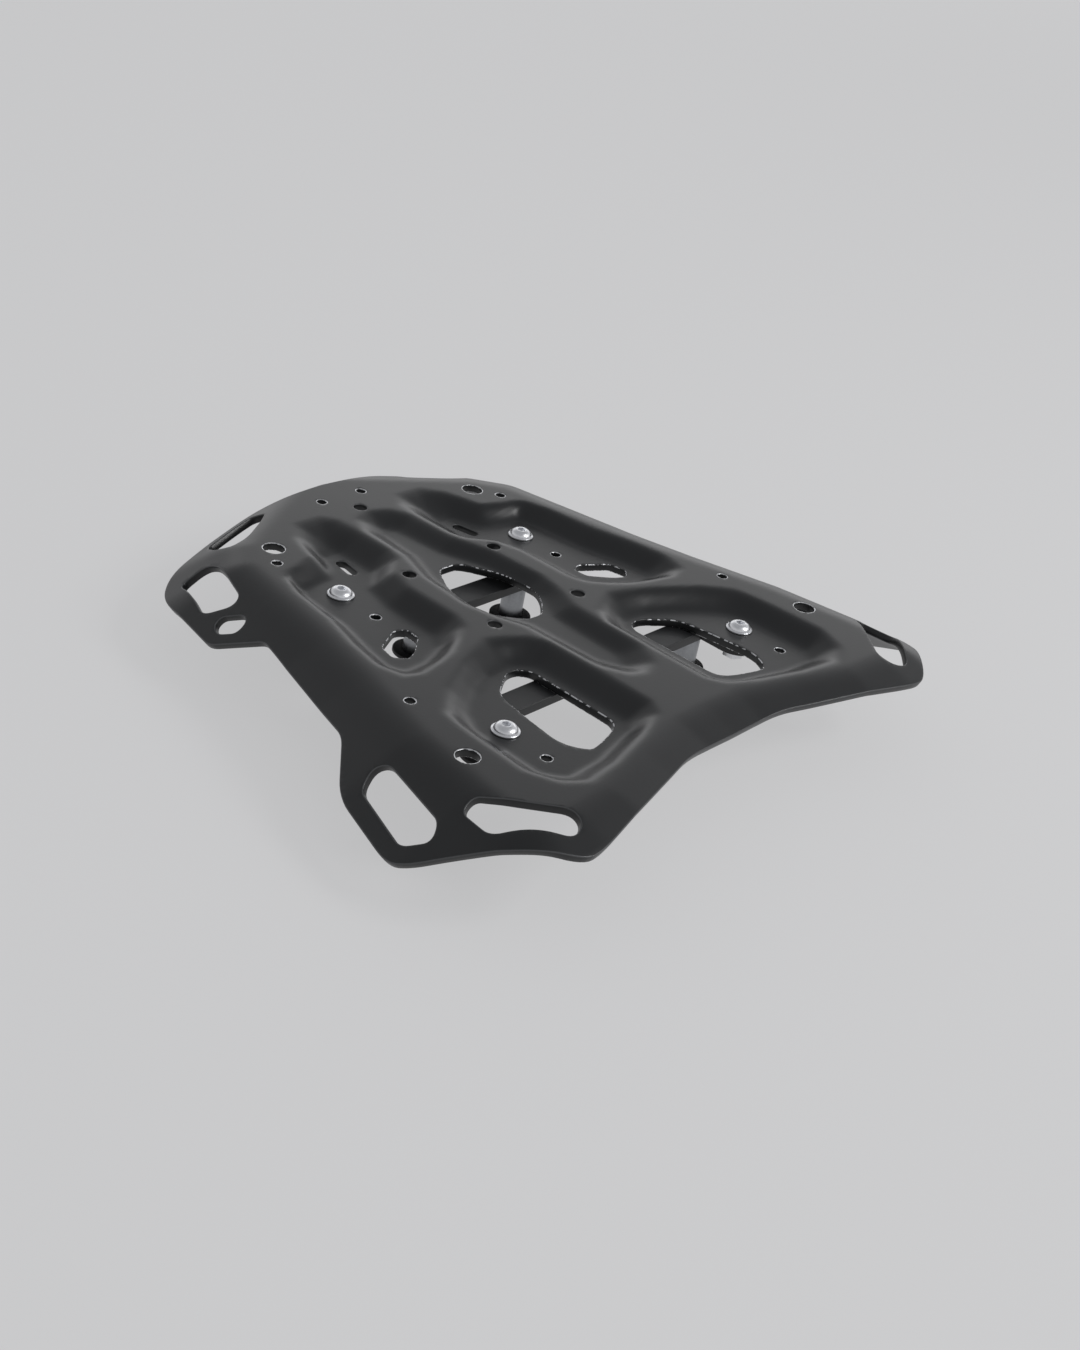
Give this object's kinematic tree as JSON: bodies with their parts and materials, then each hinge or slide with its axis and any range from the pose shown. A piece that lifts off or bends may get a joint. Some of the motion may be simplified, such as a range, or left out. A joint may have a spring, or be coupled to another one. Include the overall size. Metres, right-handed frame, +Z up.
{
  "type": "motorcycle luggage rack",
  "caption": "Black drawn luggage plate with four shallow pans, windows and strap ears, on two cross brackets and four stand-off sleeves for a motorcycle's tail.",
  "frame": {"origin": "middle of the outer box on the plane of the bike screws' lower ends", "axes": "+X towards the bike's right-hand side, +Y forward towards the seat, +Z up, square to the flat deck"},
  "size_m": [0.3616, 0.3046, 0.048],
  "materials": {
    "plate": "satin black powder coat on drawn aluminium sheet",
    "bracket": "satin black powder coat on steel",
    "zinc": "bright zinc plated steel",
    "black_steel": "black oxide steel",
    "sleeve": "turned aluminium",
    "washer": "matt black rubber-faced washer"
  },
  "bodies": {
    "root": {"rack_plate": "plate", "rear_bracket": "bracket", "front_bracket": "bracket", "plate_screw_rear_left": "zinc", "plate_screw_rear_right": "zinc", "plate_screw_front_left": "zinc", "plate_screw_front_right": "zinc", "flange_nut_rear_left": "zinc", "flange_nut_rear_right": "zinc", "flange_nut_front_left": "zinc", "flange_nut_front_right": "zinc", "bike_screw_rear_left": "black_steel", "bike_screw_rear_right": "black_steel", "bike_screw_front_left": "black_steel", "bike_screw_front_right": "black_steel", "sleeve_rear_left": "sleeve", "sleeve_rear_right": "sleeve", "sleeve_front_left": "sleeve", "sleeve_front_right": "sleeve", "seat_washer_rear_left": "washer", "seat_washer_rear_right": "washer", "seat_washer_front_left": "washer", "seat_washer_front_right": "washer"}
  },
  "joints": []
}
